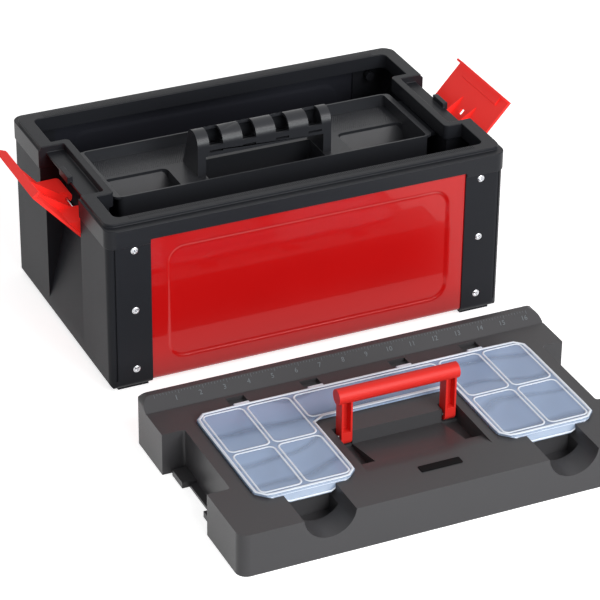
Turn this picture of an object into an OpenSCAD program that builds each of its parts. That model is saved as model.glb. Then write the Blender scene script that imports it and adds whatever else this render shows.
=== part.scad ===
// Metal-clad tool box with its lift-off lid laid in front of it.
// Frame: +X right, +Y back, +Z up, millimetres. The origin is on the floor, at the
// centre of the area that the box and the lid cover together.

/* [Box] */
// Length of the box over its top rim
box_len = 439; // [419:1:469]
// Depth of the box over its top rim
box_depth = 277.5; // [262:0.5:300]
// Height from the floor to the top of the rim lip
box_height = 188; // [178:1:210]
// Wall of the moulded plastic parts
wall = 2.5; // [2:0.1:3]
// Radius of the upright corners of the rim
corner_r = 12; // [10:0.5:16]

/* [Top rim] */
// Height of the skirt that hangs from the rim
skirt_h = 20.5; // [18:0.5:22]
// Height of the lip above the flange of the rim
lip_h = 3.5; // [2.5:0.1:4.5]
// Width of the lip along the front and the back
lip_w = 13; // [11:0.5:15]
// Width of the flange outside the lip along the front and the back
flange_w = 9; // [7:0.5:11]
// Width of the lip where it runs round a latch bay
bay_lip_w = 8; // [7:0.5:9]
// Length of the nib that centres the lid in a bay
nib_len = 24; // [16:1:26]

/* [Latch bays] */
// Width of a latch bay along the end of the box
bay_w = 114; // [108:1:118]
// Depth of a bay from the end face of the cap
bay_depth = 27.5; // [26.5:0.5:28]
// Height of the foot of the finger ramp
ramp_foot_z = 20; // [18:1:28]
// Height of the top of the finger ramp
ramp_top_z = 128; // [120:1:129]

/* [Steel shell] */
// Thickness of the painted sheet
sheet_t = 1; // [0.8:0.1:1.2]
// Radius of the bend along the bottom of the shell
bend_r = 6; // [5:0.5:8]
// Depth that the panel's centre is pressed in
emboss_h = 1.5; // [1:0.1:1.8]
// Margin between the edge of the panel and the pressed field
emboss_margin = 18; // [14:1:24]
// Corner radius of the pressed field
emboss_r = 18; // [12:1:24]

/* [End caps] */
// Width of a cap's pillar beside the steel panel
pillar_w = 46; // [42:0.5:52]
// Height of a foot
foot_h = 3; // [2.5:0.1:3.5]
// Length of a foot along X
foot_len = 33; // [28:1:36]
// Depth of a foot along Y
foot_depth = 22; // [16:1:28]
// Radius of the bottom edges of a cap
cap_base_r = 8; // [6:0.5:9]

/* [Screws] */
// Diameter of a screw head
screw_head_d = 8; // [7:0.5:9]
// Height of a screw head
screw_head_h = 2; // [1.5:0.1:2.5]
// Diameter of a screw shank
screw_d = 3.6; // [3:0.1:4]
// Length of a screw shank
screw_len = 9; // [8:0.5:11]
// Distance from the visible panel to a screw's axis
screw_inset = 17.3; // [15:0.1:19]
// Distance of the top screw's axis below the skirt's lower edge
screw_margin = 4.9; // [4.5:0.1:8]

/* [Latches] */
// Length of a latch from its pivot to its tip
latch_len = 75; // [70:0.5:80]
// Thickness of the latch plate
latch_t = 2.5; // [2:0.1:3]
// Depth of the turned-in lip at the tip
latch_lip = 8.8; // [7:0.1:10]
// Distance from the pivot axis to the outer face of the plate
latch_reach = 13; // [12.5:0.1:13.5]
// Angle at which the latches stand open
latch_open = 42; // [30:1:55]
// Diameter of a latch pin
latch_pin_d = 4; // [3.5:0.1:4.5]
// Radius of the barrel that the pin runs through
latch_barrel_r = 7; // [6:0.1:7.5]
// Gap between a latch and each end of its bay
latch_side_gap = 2; // [1:0.5:4]
// Length of the web between a latch and its barrel, at each side
cheek_w = 32; // [26:1:36]

/* [Tray] */
// Gap between the tray and the rim beside each latch bay
tray_gap = 6; // [5:0.5:7]
// Depth of the tray
tray_depth = 109; // [104:1:110]
// Drop from the rim lip down to the top edge of the tray
tray_drop = 15; // [12:1:20]
// Height of the tray
tray_h = 40.5; // [36:0.5:44]
// Depth of the rear shelf below the edge of the tray
shelf_drop = 13; // [10:0.5:16]
// Width of the rear shelf
shelf_w = 40; // [34:1:44]
// Length of each side tub
tub_len = 79; // [70:1:79]
// Wall of the tray
tray_wall = 2; // [1.6:0.1:2.4]

/* [Tray handle] */
// Length of the tray handle
grip_len = 150; // [140:1:160]
// Width of a handle post
post_w = 9; // [8:0.5:11]
// Distance that the well between the handle's posts reaches under the grip
hand_well_reach = 36; // [30:1:38]
// Height of the handle above the shelf of the tray
grip_h = 47; // [44:1:50]
// Depth of the grip
grip_depth = 28; // [26:0.5:29]
// Height of the grip itself
grip_bar_h = 25; // [24:0.5:27]
// Depth of a post at its foot
post_depth = 41; // [36:1:44]
// Length of a window in the grip
window_len = 15; // [12:0.5:17]

/* [Lid] */
// Distance that the lid's front and back walls stand inside the lip's outer edge
lid_lap = 1.5; // [1:0.1:3]
// Height of the lid's top above its lower edge
lid_h = 45.5; // [43:0.5:50]
// Gap between the lid and the box on the floor
lid_gap = 83; // [60:1:120]
// Sideways shift of the lid from the middle of the box
lid_shift = -9.5; // [-20:0.5:20]
// Wall of the lid
lid_wall = 2.6; // [2.2:0.1:2.8]
// Radius of the upright corners of the lid
lid_corner_r = 11; // [8:0.5:14]
// Gap between a latch and each end of the lid's notch
notch_gap = 0; // [0:0.5:3]
// Depth of a notch
notch_depth = 23.5; // [21:0.5:25]
// Height of the ruler ridge above the lid's top
ridge_h = 10.5; // [8:0.5:12]
// Distance that the ridge runs in from the back edge
ridge_w = 28; // [26:0.5:30]
// Width of a finger scallop
scallop_w = 52; // [46:1:54]

/* [Organiser] */
// Margin of the lid's top outside each end of the organiser
org_margin = 39; // [36:0.5:44]
// Distance from the lid's centre to the organiser's back edge
org_back = 74.2; // [72:0.1:76]
// Depth of the organiser's wings
org_depth = 154.7; // [148:0.1:158]
// Depth of the organiser's rear strip
strip_depth = 51; // [49:0.5:52]
// Margin of the lid's top between the handle recess and a wing
wing_margin = 10.5; // [9:0.5:18]
// Chamfer of the organiser's corners
org_chamfer = 9; // [7:0.5:11]
// Height of the cover above the lid's top
cover_rise = 3.1; // [2.8:0.1:4]
// Thickness of the cover
cover_t = 2; // [1.6:0.1:2.2]
// Height of the organiser bin
bin_h = 30; // [24:0.5:32]
// Wall of the organiser bin
bin_wall = 1.4; // [1.2:0.1:1.8]
// Diameter of the cover's hinge pins
cover_pin_d = 2; // [1.8:0.1:2.2]
// Drop of the finger flap below the cover
flap_drop = 8; // [6:0.5:9]
// Distance that the flap's lower edge leans forward
flap_lean = 4.5; // [3:0.5:6]
// Thickness of the flap
flap_t = 2; // [1.6:0.1:2.2]
// Width of a hinge tab on the cover
tab_w = 17; // [14:0.5:20]

/* [Lid handle] */
// Width of the lid handle over its grip
handle_w = 128; // [124:1:130]
// Diameter of the grip
handle_grip_d = 16; // [14:0.5:18]
// Height of the grip's axis above the pivot
handle_arm = 46.5; // [45:0.5:48]
// Width of a leg
leg_w = 11.5; // [10:0.5:12]
// Depth of a leg
leg_depth = 13; // [11:0.5:13.5]
// Diameter of a pivot stud
stud_d = 5; // [4:0.1:5.4]

/* [Fits] */
// Clearance between moulded parts that move
run_gap = 0.3; // [0.25:0.05:0.4]
// Clearance of a part laid loosely in its pocket
lay_gap = 0.5; // [0.4:0.05:0.6]
// Radial clearance of a pin in the bore that turns on it
pin_gap = 0.1; // [0.05:0.01:0.15]

/* [Hidden] */
$fn = 64;

black = [0.13, 0.14, 0.16];
lid_grey = [0.25, 0.25, 0.27];
red = [0.86, 0.16, 0.13];
panel_red = [0.74, 0.09, 0.09];
zinc = [0.8, 0.81, 0.83];
clear_grey = [0.72, 0.77, 0.82];

// The lid's size follows the lip that it stands on
lip_len = box_len - 5;
lip_depth = box_depth - 2 * flange_w;
lid_len = lip_len;
lid_depth = lip_depth - 2 * lid_lap;

// Places of the box and the lid on the floor
span_y = box_depth + lid_gap + lid_depth;
box_y = span_y / 2 - box_depth / 2;
lid_y = -span_y / 2 + lid_depth / 2;
box_half = box_len / 2;
box_front = box_y - box_depth / 2;
box_back = box_y + box_depth / 2;

// Heights of the rim
flange_z = box_height - lip_h;
deck_z = flange_z - wall;
skirt_z = flange_z - skirt_h;
panel_relief = 4.5;
open_len = box_len - 33;
open_depth = lip_depth - 2 * lip_w;
open_r = 7;

// Latch bays
bay_y = box_y - 2.75;
bay_x = box_half - bay_depth;
bay_r = 3;
ramp_w = 99;
ramp_y = bay_y - bay_w / 2 + ramp_w / 2;
open_bay_x = bay_x - bay_lip_w;
ledge_x = box_half - 8.5;
ledge_z = box_height - 7.5;
nib_x = box_half - 11.5;
nib_w = 6;
nib_h = 5.5;

// End caps and steel shell
cap_inset = 1.2;
cap_end_t = 3.3;
cap_side_t = 4.5;
cap_x = box_half - pillar_w;
panel_len = 2 * cap_x;
sheet_inset = cap_inset + 1.5;
sheet_tuck = 25;
sheet_top_z = deck_z - 2;
sheet_base_z = foot_h + 1.5;
slab_top_z = deck_z;
cavity_z = foot_h + cap_side_t;
foot_side = 10.5;
foot_front = 8;
screw_x = cap_x + screw_inset;
screw_low_z = foot_h + 20.9;
screw_pitch = (skirt_z - screw_margin - screw_low_z) / 2;
screw_seat = 1;
groove_x = 7.8;
pillar_groove_w = 1.8;
pillar_groove_h = 2.2;
groove_low_z = 13;
boss_r = 5;
boss_h = 14;
screw_seat_r = screw_head_d / 2 + 0.4;

// Tray support inside the bays
tray_top_z = box_height - tray_drop;
tray_flange_t = 2.5;
tray_flange_w = 4.5;
tray_y = box_y + 1.25;
tray_len = 2 * (open_bay_x - tray_gap);
tray_body_len = tray_len - 2 * tray_flange_w;
shelf_z = tray_top_z - shelf_drop;
tray_base_z = tray_top_z - tray_h;
bracket_x = tray_body_len / 2 + 1.5;
bracket_h = 4;
bracket_w = bay_x - cap_inset - wall + 0.5 - bracket_x;
bracket_len = 80;
tub_lean = 22;
tub_inner_y = tray_y + tray_depth / 2 - shelf_w - tray_wall;

// Tray handle
grip_y = tray_y - tray_depth / 2 + 31.5;
grip_r = grip_depth / 2;
grip_t = 3;
window_pitch = 37;

// Latches: the pivot and the plate in the closed position
pivot_x = box_half - latch_reach;
pivot_z = box_height - 40.7;
plate_in = latch_reach - latch_t;
latch_y = bay_y;
latch_w = bay_w - 2 * latch_side_gap;
tip_pad_w = 75;
tip_pad_y = -39;
tip_pad_t = 1.2;
tip_pad_h = 12;
gusset_len = 49;
gusset_h = 13;
gusset_t = 2.5;
gusset_x = 16;
cheek_in = 16;
hole_w = 6;
hole_z = 31;
fold_cut = 16;

// Lid
notch_y = 3.25;
notch_w = latch_w + 2 * notch_gap;
notch_x = lid_len / 2 - notch_depth;
notch_foot_x = notch_x + 7.5;
notch_tab_x = notch_x + 15;
notch_tab_w = 25;
notch_tab_y = 38.5;
notch_foot_h = 3;
notch_tab_h = 6.5;
ridge_half = lid_len / 2;
ridge_end_r = 10;
groove_h = 1.5;
groove_w = 2.5;
ridge_top_w = 7;
ridge_back = 8;
ridge_t = 2.4;
org_gap = lay_gap;
well_t = 2;
bin_top_z = lid_h + cover_rise - cover_t - run_gap;
bin_base_z = bin_top_z - bin_h;
cover_z = bin_top_z + run_gap;
org_half = lid_len / 2 - org_margin;
org_front = org_back - org_depth;
leg_out = handle_w / 2 - 3;
recess_half = handle_w / 2 + 1;
wing_in_x = recess_half + wing_margin;
wing_w = org_half - wing_in_x;
wing_mid_x = wing_in_x + wing_w / 2;
strip_front = org_back - strip_depth;
cell_line_y = org_back - org_depth / 2;
flap_clear = 0.6;
well_front = org_front + flap_t + flap_clear + well_t + org_gap;
bin_inset = 0.6;
hinge_y = org_back + 2.8;
hinge_z = lid_h - 1.4;
barrel_r = 2.1;
slot_back = hinge_y + 17;
slot_low = hinge_z - barrel_r - 0.5;
slot_w = tab_w + 2;
tab_in_x = wing_in_x - 27.5;
tab_xs = [-wing_mid_x, -tab_in_x, tab_in_x, wing_mid_x];
scallop_x = wing_mid_x;
scallop_r = scallop_w / 2 + 0.5;
scallop_z = lid_h + 2.5;
scallop_back = org_front + flap_t + flap_clear;
pocket_z = 15;
pocket_depth = 20;

// Lid handle: the pivot is measured from the centre of the lid
hinge_arm_y = -4.75;
hinge_arm_z = 39;
leg_in = leg_out - leg_w;
slot_in = leg_in - 1.8;
block_front = -7.75;
recess_front = -78.75;
recess_low_z = 31;
channel_z = 28;
channel_front = -57.75;
slot_rear = hinge_arm_y + leg_depth / 2 + 1.5;
leg_channel_depth = 8;
stud_cover = 0.8;

// Badge plate
badge_len = 43.5;
badge_w = 10;
badge_t = 0.8;
badge_r = 1.5;
badge_x = 2.55;
badge_y = 34.5 - lid_depth / 2;

// ---- Plan shapes ----

module round_rect(len, depth, r) {
    square([len - 2 * r, depth], center = true);
    square([len, depth - 2 * r], center = true);
    for (sx = [-1, 1], sy = [-1, 1])
        translate([sx * (len / 2 - r), sy * (depth / 2 - r)]) circle(r);
}

// Plan of the box at a distance inside its outer face, with the bays cut in
module box_plan(inset) {
    difference() {
        translate([0, box_y])
            round_rect(box_len - 2 * inset, box_depth - 2 * inset, corner_r - inset);
        for (side = [-1, 1])
            translate([side * box_half, bay_y])
                round_rect(2 * (bay_depth + inset), bay_w + 2 * inset, bay_r + inset);
    }
}

// Opening of the rim, grown outwards by a distance
module rim_opening(grow) {
    difference() {
        translate([0, box_y])
            round_rect(open_len + 2 * grow, open_depth + 2 * grow, open_r + grow);
        for (side = [-1, 1])
            translate([side * box_half, bay_y])
                round_rect(2 * (box_half - open_bay_x - grow), bay_w + 2 * bay_lip_w - 2 * grow, bay_r + 2);
    }
}

module lip_plan() {
    difference() {
        translate([0, box_y]) round_rect(lip_len, lip_depth, corner_r - 2);
        for (side = [-1, 1])
            translate([side * box_half, bay_y])
                round_rect(2 * bay_depth, bay_w, bay_r);
        rim_opening(0);
    }
}

// ---- Box ----

module top_rim() {
    color(black) difference() {
        union() {
            translate([0, 0, flange_z]) linear_extrude(lip_h) lip_plan();
            translate([0, 0, deck_z]) linear_extrude(wall) difference() {
                box_plan(0);
                rim_opening(0);
            }
            translate([0, 0, skirt_z]) linear_extrude(deck_z - skirt_z) difference() {
                box_plan(0);
                box_plan(wall);
            }
            translate([0, 0, deck_z - 10]) linear_extrude(10) difference() {
                rim_opening(2);
                rim_opening(0);
            }
            for (side = [-1, 1]) bay_ledge(side);
        }
        translate([-panel_len / 2, box_front - 10, skirt_z - 1])
            cube([panel_len, box_depth + 20, panel_relief + 1]);
    }
}

// Ledge over a bay with the nib that centres the lid
module bay_ledge(side) {
    translate([side > 0 ? bay_x - 1 : -ledge_x, bay_y - bay_w / 2, ledge_z - wall])
        cube([ledge_x - bay_x + 1, bay_w, wall]);
    translate([side > 0 ? nib_x : -nib_x - nib_w, bay_y - nib_len / 2, ledge_z - wall])
        cube([nib_w, nib_len, wall + nib_h]);
}

// Outer body of the box below the rim, with its rounded bottom edges
module cap_envelope(inset) {
    h = skirt_z - foot_h;
    intersection() {
        translate([0, 0, foot_h]) linear_extrude(h) translate([0, box_y])
            round_rect(box_len - 2 * inset, box_depth - 2 * inset, corner_r - inset);
        translate([-box_half, box_y, foot_h]) rotate([90, 0, 90]) linear_extrude(box_len)
            translate([0, h]) round_rect(box_depth - 2 * inset, 2 * h, cap_base_r);
        translate([0, box_back, foot_h]) rotate([90, 0, 0]) linear_extrude(box_depth)
            translate([0, h]) round_rect(box_len - 2 * inset, 2 * h, cap_base_r);
    }
}

// Space of a bay and of the finger ramp below it, on the right side
module bay_space(grow) {
    translate([bay_x - grow, bay_y - bay_w / 2 - grow, ramp_top_z - grow])
        cube([bay_depth + 20, bay_w + 2 * grow, box_height]);
    translate([0, ramp_y + ramp_w / 2 + grow, 0]) rotate([90, 0, 0]) linear_extrude(ramp_w + 2 * grow)
        polygon([[box_half - grow, ramp_foot_z], [bay_x - grow, ramp_top_z],
                 [bay_x - grow, ramp_top_z + 40], [box_half + 20, ramp_top_z + 40],
                 [box_half + 20, ramp_foot_z]]);
}

// Side view of the steel shell, as a U of one thickness
module shell_profile() {
    outer_d = box_depth - 2 * sheet_inset;
    h = sheet_top_z - sheet_base_z;
    intersection() {
        difference() {
            translate([0, h]) round_rect(outer_d, 2 * h, bend_r + sheet_t);
            translate([0, h]) round_rect(outer_d - 2 * sheet_t, 2 * (h - sheet_t), bend_r);
        }
        translate([-outer_d, 0]) square([2 * outer_d, h]);
    }
}

module shell_band(len) {
    translate([-len / 2, box_y, sheet_base_z]) rotate([90, 0, 90]) linear_extrude(len)
        shell_profile();
}

module end_cap() {
    difference() {
        union() {
            cap_envelope(cap_inset);
            translate([0, 0, skirt_z]) linear_extrude(slab_top_z - skirt_z) box_plan(wall);
            for (y = [box_front + foot_front, box_back - foot_front - foot_depth])
                translate([box_half - foot_side - foot_len, y, 0]) cube([foot_len, foot_depth, foot_h + 1]);
        }
        difference() {
            translate([0, 0, cavity_z]) linear_extrude(box_height) translate([0, box_y])
                round_rect(box_len - 2 * (cap_inset + cap_end_t),
                           box_depth - 2 * (cap_inset + cap_side_t), 6);
            bay_space(cap_inset + wall);
            for (z = [0, 1, 2], front = [0, 1])
                translate([screw_x, front == 1 ? box_front : box_back - boss_h, screw_low_z + z * screw_pitch])
                    rotate([-90, 0, 0]) cylinder(r = boss_r, h = boss_h);
            translate([bracket_x, bay_y - bracket_len / 2, tray_top_z - tray_flange_t - run_gap - bracket_h])
                cube([bracket_w, bracket_len, bracket_h]);
        }
        bay_space(cap_inset);
        translate([-box_half, box_front - 1, -1]) cube([box_half + cap_x, box_depth + 2, box_height]);
        shell_band(panel_len + 2 * sheet_tuck);
        screw_bores();
        for (y = [box_front + cap_inset, box_back - cap_inset])
            translate([box_half - groove_x - pillar_groove_w / 2, y - pillar_groove_h, groove_low_z])
                cube([pillar_groove_w, 2 * pillar_groove_h, skirt_z - groove_low_z]);
        translate([pivot_x, bay_y - bay_w, pivot_z]) rotate([-90, 0, 0])
            cylinder(d = latch_pin_d, h = 2 * bay_w);
    }
}

module screw_bores() {
    for (z = [0, 1, 2], front = [0, 1])
        translate([screw_x, front == 1 ? box_front : box_back, screw_low_z + z * screw_pitch])
            rotate([0, 0, front == 1 ? 0 : 180]) {
                translate([0, cap_inset, 0]) rotate([-90, 0, 0])
                    cylinder(d = screw_d, h = screw_len + screw_seat);
                translate([0, -1, 0]) rotate([-90, 0, 0])
                    cylinder(r = screw_seat_r, h = cap_inset + screw_seat + 1);
            }
}

module right_end_cap() {
    color(black) end_cap();
}

module left_end_cap() {
    color(black) mirror([1, 0, 0]) end_cap();
}

module steel_shell() {
    pad_len = panel_len - 2 * emboss_margin;
    low_z = sheet_base_z + bend_r + sheet_t + emboss_margin * 0.8;
    pad_h = skirt_z + panel_relief - emboss_margin * 0.8 - low_z;
    pad_z = low_z + pad_h / 2;
    color(panel_red) difference() {
        union() {
            shell_band(panel_len + 2 * sheet_tuck);
            for (face = [-1, 1])
                translate([0, box_y + face * (box_depth / 2 - sheet_inset - sheet_t - emboss_h), pad_z])
                    rotate([-90 * face, 0, 0]) linear_extrude(emboss_h + sheet_t / 2)
                        round_rect(pad_len + 2 * sheet_t, pad_h + 2 * sheet_t, emboss_r + sheet_t);
        }
        for (face = [-1, 1])
            translate([0, box_y + face * (box_depth / 2 - sheet_inset - emboss_h), pad_z])
                rotate([-90 * face, 0, 0]) linear_extrude(emboss_h + 1)
                    round_rect(pad_len, pad_h, emboss_r);
        for (side = [-1, 1]) translate([side < 0 ? -2 * screw_x : 0, 0, 0]) screw_bores();
    }
}

// One screw with its axis along +Y, head face at y = -head height
module screw() {
    difference() {
        union() {
            translate([0, -screw_head_h, 0]) rotate([-90, 0, 0])
                cylinder(d1 = screw_head_d - 1.6, d2 = screw_head_d, h = screw_head_h / 2);
            translate([0, -screw_head_h / 2, 0]) rotate([-90, 0, 0])
                cylinder(d = screw_head_d, h = screw_head_h / 2);
            rotate([-90, 0, 0]) cylinder(d = screw_d, h = screw_len);
        }
        translate([-0.6, -screw_head_h - 1, -2]) cube([1.2, 2.2, 4]);
        translate([-2, -screw_head_h - 1, -0.6]) cube([4, 2.2, 1.2]);
    }
}

module screw_column(side, front) {
    color(zinc) for (n = [0, 1, 2])
        translate([side * screw_x, front == 1 ? box_front + cap_inset + screw_seat
                   : box_back - cap_inset - screw_seat, screw_low_z + n * screw_pitch])
            rotate([0, 0, front == 1 ? 0 : 180]) screw();
}

module left_front_screws() {
    screw_column(-1, 1);
}

module right_front_screws() {
    screw_column(1, 1);
}

module left_back_screws() {
    screw_column(-1, 0);
}

module right_back_screws() {
    screw_column(1, 0);
}

// ---- Latches ----

module latch_pin() {
    reach = bay_w / 2 + cap_inset + wall;
    translate([pivot_x, bay_y - reach, pivot_z]) rotate([-90, 0, 0])
        cylinder(d = latch_pin_d, h = 2 * reach);
}

module right_latch_pin() {
    color(zinc) latch_pin();
}

module left_latch_pin() {
    color(zinc) mirror([1, 0, 0]) latch_pin();
}

// Slice of the latch: a profile in outward and upward distances from the pivot
module latch_slice(y, w) {
    translate([0, y + w, 0]) rotate([90, 0, 0]) linear_extrude(w) children();
}

// The latch stands closed here, with its pivot on the origin; its fold is cut away at one end
module latch_closed(cut_end) {
    difference() {
        union() {
            latch_slice(-latch_w / 2, latch_w)
                polygon([[plate_in, -8], [latch_reach, -6], [latch_reach, latch_len],
                         [latch_reach - latch_lip, latch_len], [latch_reach - latch_lip, latch_len - latch_t],
                         [plate_in, latch_len - latch_t]]);
            latch_slice(tip_pad_y, tip_pad_w)
                polygon([[plate_in - tip_pad_t, latch_len - tip_pad_h], [plate_in + 0.5, latch_len - tip_pad_h - 1],
                         [plate_in + 0.5, latch_len - 1], [plate_in - tip_pad_t, latch_len - 1]]);
            for (s = [-1, 1]) {
                latch_slice(s > 0 ? cheek_in : -cheek_in - cheek_w, cheek_w) {
                    circle(latch_barrel_r);
                    polygon([[-4.7, 5.2], [plate_in + 0.5, 18.9], [plate_in + 0.5, -8], [0, -latch_barrel_r]]);
                }
                latch_slice(s > 0 ? gusset_x - gusset_t : -gusset_x, gusset_t)
                    polygon([[plate_in + 0.5, gusset_len], [plate_in, gusset_len],
                             [plate_in - gusset_h, 0], [plate_in + 0.5, 0]]);
            }
        }
        translate([0, latch_w, 0]) rotate([90, 0, 0])
            cylinder(r = latch_pin_d / 2 + pin_gap, h = 2 * latch_w);
        translate([plate_in - 1, -hole_w / 2, hole_z]) cube([latch_t + 2, hole_w, hole_w]);
        translate([0, 0, latch_len - latch_t - 1]) linear_extrude(latch_t + 2)
            polygon([[plate_in - 0.5, cut_end * (latch_w / 2 - 0.5)],
                     [latch_reach - latch_lip - 1, cut_end * (latch_w / 2 - fold_cut)],
                     [latch_reach - latch_lip - 1, cut_end * (latch_w / 2 + 1)],
                     [plate_in - 0.5, cut_end * (latch_w / 2 + 1)]]);
    }
}

module right_latch() {
    color(red) translate([pivot_x, latch_y, pivot_z]) rotate([0, latch_open, 0]) latch_closed(-1);
}

module left_latch() {
    color(red) mirror([1, 0, 0]) translate([pivot_x, latch_y, pivot_z]) rotate([0, latch_open, 0])
        latch_closed(1);
}

// ---- Tray ----

// Space behind the leaning back wall of the tubs; the wall meets the shelf at a place along Y
module tub_slope(top_y) {
    translate([-tray_len, 0, 0]) rotate([90, 0, 90]) linear_extrude(2 * tray_len)
        polygon([[top_y, shelf_z - tray_wall], [top_y - tub_lean, tray_base_z - 1],
                 [top_y + tub_lean, tray_base_z - 1], [top_y + tub_lean, shelf_z - tray_wall]]);
}

module tray() {
    back_y = tray_y + tray_depth / 2;
    front_y = tray_y - tray_depth / 2;
    in_len = tray_body_len - 2 * tray_wall;
    tub_mid = tray_body_len / 2 - tub_len / 2;
    tub_depth = tub_inner_y - front_y;
    well_len = grip_len - 2 * post_w - 1;
    well_depth = grip_y + hand_well_reach - front_y;
    color(black) difference() {
        union() {
            translate([0, tray_y, shelf_z - tray_wall]) linear_extrude(tray_top_z - shelf_z + tray_wall)
                round_rect(tray_body_len, tray_depth, 6);
            translate([0, tray_y, tray_top_z - tray_flange_t]) linear_extrude(tray_flange_t)
                round_rect(tray_len, tray_depth - 2, 6);
            for (side = [-1, 1]) difference() {
                translate([side * tub_mid, front_y + tub_depth / 2, tray_base_z])
                    linear_extrude(shelf_z - tray_base_z) round_rect(tub_len, tub_depth, 6);
                tub_slope(tub_inner_y + tray_wall);
            }
            translate([-tub_mid, front_y, shelf_z - 15]) cube([2 * tub_mid, tray_wall, 15]);
            translate([0, front_y + well_depth / 2, tray_base_z]) linear_extrude(shelf_z - tray_base_z)
                round_rect(well_len + 2 * tray_wall, well_depth, 5);
        }
        translate([0, tray_y, shelf_z]) linear_extrude(shelf_drop + 1)
            round_rect(in_len, tray_depth - 2 * tray_wall, 4);
        for (side = [-1, 1]) difference() {
            translate([side * tub_mid, front_y + tub_depth / 2, tray_base_z + tray_wall])
                linear_extrude(tray_h) round_rect(tub_len - 2 * tray_wall, tub_depth - 2 * tray_wall, 7);
            tub_slope(tub_inner_y - tray_wall / 2);
        }
        translate([0, front_y + well_depth / 2, tray_base_z + tray_wall]) linear_extrude(tray_h)
            round_rect(well_len, well_depth - 2 * tray_wall, 3);
    }
}

// Side view of the tray handle's post and of the rounded top that the grip shares
module post_profile() {
    polygon([[0, 0], [post_depth, 0], [grip_depth, grip_h - grip_r], [0, grip_h - grip_r]]);
    translate([grip_r, grip_h - grip_r]) circle(grip_r);
}

module grip_profile(inset) {
    low = grip_h - grip_bar_h + inset;
    translate([grip_r, grip_h - grip_r]) circle(grip_r - inset);
    translate([inset, low]) square([grip_depth - 2 * inset, grip_bar_h - grip_r - inset]);
}

module tray_handle() {
    color(black) translate([0, grip_y, shelf_z]) difference() {
        union() {
            for (side = [-1, 1])
                translate([side > 0 ? grip_len / 2 - post_w : -grip_len / 2, 0, 0])
                    rotate([90, 0, 90]) linear_extrude(post_w) post_profile();
            translate([-grip_len / 2 + 1, 0, 0]) rotate([90, 0, 90]) linear_extrude(grip_len - 2)
                grip_profile(0);
        }
        translate([-grip_len / 2 + post_w, 0, 0]) rotate([90, 0, 90])
            linear_extrude(grip_len - 2 * post_w) grip_profile(grip_t);
        for (n = [-1.5, -0.5, 0.5, 1.5]) {
            translate([n * window_pitch + 1 - window_len / 2, -1, grip_h - grip_r])
                cube([window_len, grip_depth * 0.72, grip_r + 1]);
            translate([n * window_pitch + 1 - window_len / 2, -1, grip_h - grip_bar_h + grip_t + 0.5])
                cube([window_len, grip_t + 2, 2.5]);
        }
    }
}

// ---- Lid ----

module at_lid() {
    translate([lid_shift, lid_y, 0]) children();
}

module lid_plan(inset) {
    difference() {
        round_rect(lid_len - 2 * inset, lid_depth - 2 * inset, lid_corner_r - inset);
        for (side = [-1, 1])
            translate([side * lid_len / 2, notch_y])
                round_rect(2 * (notch_depth + inset), notch_w + 2 * inset, 3 + inset);
    }
}

// Side view of the ruler ridge, looking along +X, measured from the lid's centre
module ridge_profile(inset) {
    back = lid_depth / 2;
    polygon([[back - 2 - 1.3 * inset, lid_h - 1 - inset], [back - ridge_back - 0.5 * inset, lid_h + ridge_h - inset],
             [back - ridge_back - ridge_top_w + 0.6 * inset, lid_h + ridge_h - inset],
             [back - ridge_w + 1.6 * inset, lid_h - inset], [back - ridge_w + 1.6 * inset, lid_h - 1 - inset]]);
}

module lid_ridge(inset) {
    intersection() {
        translate([-ridge_half, 0, 0]) rotate([90, 0, 90]) linear_extrude(2 * ridge_half) ridge_profile(inset);
        translate([0, lid_depth, 0]) rotate([90, 0, 0]) linear_extrude(2 * lid_depth)
            round_rect(2 * (ridge_half - inset), 2 * (lid_h + ridge_h - inset), ridge_end_r - inset);
        linear_extrude(lid_h + ridge_h) lid_plan(inset);
    }
}

// Valley at the foot of the ruler face
module ridge_groove() {
    foot = lid_depth / 2 - ridge_w;
    translate([-lid_len, 0, 0]) rotate([90, 0, 90]) linear_extrude(2 * lid_len)
        polygon([[foot, lid_h + 0.01], [foot - groove_w, lid_h + 0.01],
                 [foot - groove_w * 0.75, lid_h - groove_h]]);
}

// Plan of the organiser: two wings joined by a strip at the back, corners chamfered
module org_plan(grow, front = org_front) {
    h = org_half + grow;
    w = wing_in_x - grow;
    b = org_back + grow;
    f = front - grow;
    s = strip_front - grow;
    k = org_chamfer + grow * 0.6;
    polygon([[-h + k, b], [h - k, b], [h, b - k], [h, f + k], [h - k, f], [w + k, f], [w, f + k], [w, s],
             [-w, s], [-w, f + k], [-w - k, f], [-h + k, f], [-h, f + k], [-h, b - k]]);
}

// Space of the handle recess; it grows by a wall to give the moulding around it
module handle_space(grow) {
    x0 = -recess_half - grow;
    span = 2 * (recess_half + grow);
    translate([x0, 0, 0]) rotate([90, 0, 90]) linear_extrude(span)
        polygon([[block_front + grow, recess_low_z - grow], [recess_front, lid_h - grow * 1.02],
                 [recess_front, lid_h + 1], [block_front + grow, lid_h + 1]]);
    for (side = [-1, 1]) {
        translate([side > 0 ? slot_in - grow : -recess_half - grow, block_front - 1, recess_low_z - grow])
            cube([recess_half - slot_in + 2 * grow, slot_rear - block_front + 1 + grow, 40]);
        translate([side > 0 ? slot_in - grow : -recess_half - grow, channel_front - grow, channel_z - grow])
            cube([recess_half - slot_in + 2 * grow, block_front - channel_front + 2 * grow, 40]);
    }
}

module scallop_space(side, grow) {
    r = scallop_r + grow;
    translate([side * scallop_x, scallop_back, scallop_z]) rotate([90, 0, 0])
        cylinder(r = r, h = lid_depth);
    translate([side * scallop_x - scallop_w / 2 + 4 - grow, scallop_back - pocket_depth - grow, pocket_z - grow])
        cube([scallop_w - 8 + 2 * grow, pocket_depth + grow, 40]);
}

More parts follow.
